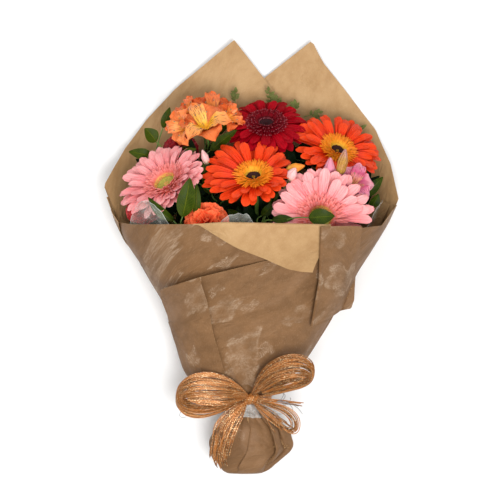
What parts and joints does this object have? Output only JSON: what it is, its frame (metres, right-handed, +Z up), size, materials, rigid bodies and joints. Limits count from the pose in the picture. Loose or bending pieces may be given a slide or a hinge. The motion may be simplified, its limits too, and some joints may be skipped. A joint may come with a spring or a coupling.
{
  "type": "wrapped gerbera bouquet",
  "caption": "Bouquet of gerberas, alstroemerias and leaves in a kraft paper cone with a copper ribbon bow, lying on its back.",
  "frame": {"origin": "on the surface that the bouquet lies on, under the flat back of the outer paper sheet, below the flower heads", "axes": "+Y from the paper pouch round the cut stems towards the flowers, +Z up from the surface, +X to the right as the flowers are seen from above"},
  "size_m": [0.3437, 0.4936, 0.1642],
  "materials": {
    "paper": "matt kraft",
    "cellophane": "clear film",
    "tape": "clear tape",
    "ribbon": "metallic copper threads",
    "binding": "matt",
    "petals_orange": "natural petal, velvety",
    "petals_red": "natural petal, velvety",
    "petals_pink": "natural petal, velvety",
    "petals_apricot": "natural petal, satin",
    "petals_magenta": "natural petal, satin",
    "petals_pale": "natural petal, satin",
    "florets_yellow": "natural, velvety",
    "florets_salmon": "natural, velvety",
    "florets_red": "natural, velvety",
    "eye_dark": "natural, velvety",
    "eye_green": "natural, velvety",
    "stem": "natural plant, satin",
    "leaf": "natural leaf, satin",
    "leaf_dark": "natural leaf, satin"
  },
  "bodies": {
    "root": {"alstroemeria_orange": "leaf", "alstroemeria_orange_bud": "petals_pale", "alstroemeria_orange_floret_1": "petals_apricot", "alstroemeria_orange_floret_2": "petals_apricot", "alstroemeria_orange_floret_3": "petals_apricot", "alstroemeria_pink": "leaf", "alstroemeria_pink_bud": "petals_magenta", "alstroemeria_pink_floret": "petals_magenta", "alstroemeria_small": "leaf", "alstroemeria_small_bud": "petals_pale", "carnation_orange_petals": "petals_orange", "carnation_orange_stem": "stem", "carnation_red_back_petals": "petals_red", "carnation_red_back_stem": "stem", "carnation_red_front_petals": "petals_red", "carnation_red_front_stem": "stem", "cellophane_sleeve": "cellophane", "foliage_deep_left": "leaf_dark", "foliage_deep_right": "leaf_dark", "foliage_front_left": "leaf", "foliage_front_right": "leaf", "foliage_left": "leaf", "foliage_middle": "leaf_dark", "foliage_right": "leaf_dark", "gerbera_orange_centre_eye": "eye_dark", "gerbera_orange_centre_florets": "florets_yellow", "gerbera_orange_centre_rays": "petals_orange", "gerbera_orange_centre_stem": "stem", "gerbera_orange_right_eye": "eye_dark", "gerbera_orange_right_florets": "florets_yellow", "gerbera_orange_right_rays": "petals_orange", "gerbera_orange_right_stem": "stem", "gerbera_pink_left_eye": "eye_green", "gerbera_pink_left_florets": "florets_salmon", "gerbera_pink_left_rays": "petals_pink", "gerbera_pink_left_stem": "stem", "gerbera_pink_right_eye": "eye_green", "gerbera_pink_right_florets": "florets_salmon", "gerbera_pink_right_rays": "petals_pink", "gerbera_pink_right_stem": "stem", "gerbera_red_eye": "eye_dark", "gerbera_red_florets": "florets_red", "gerbera_red_rays": "petals_red", "gerbera_red_stem": "stem", "neck_tape": "tape", "paper_front_band": "paper", "paper_inner_sheet": "paper", "paper_outer_sheet": "paper", "ribbon_bow": "ribbon", "sprig_back": "leaf", "stem_binding": "binding"}
  },
  "joints": []
}
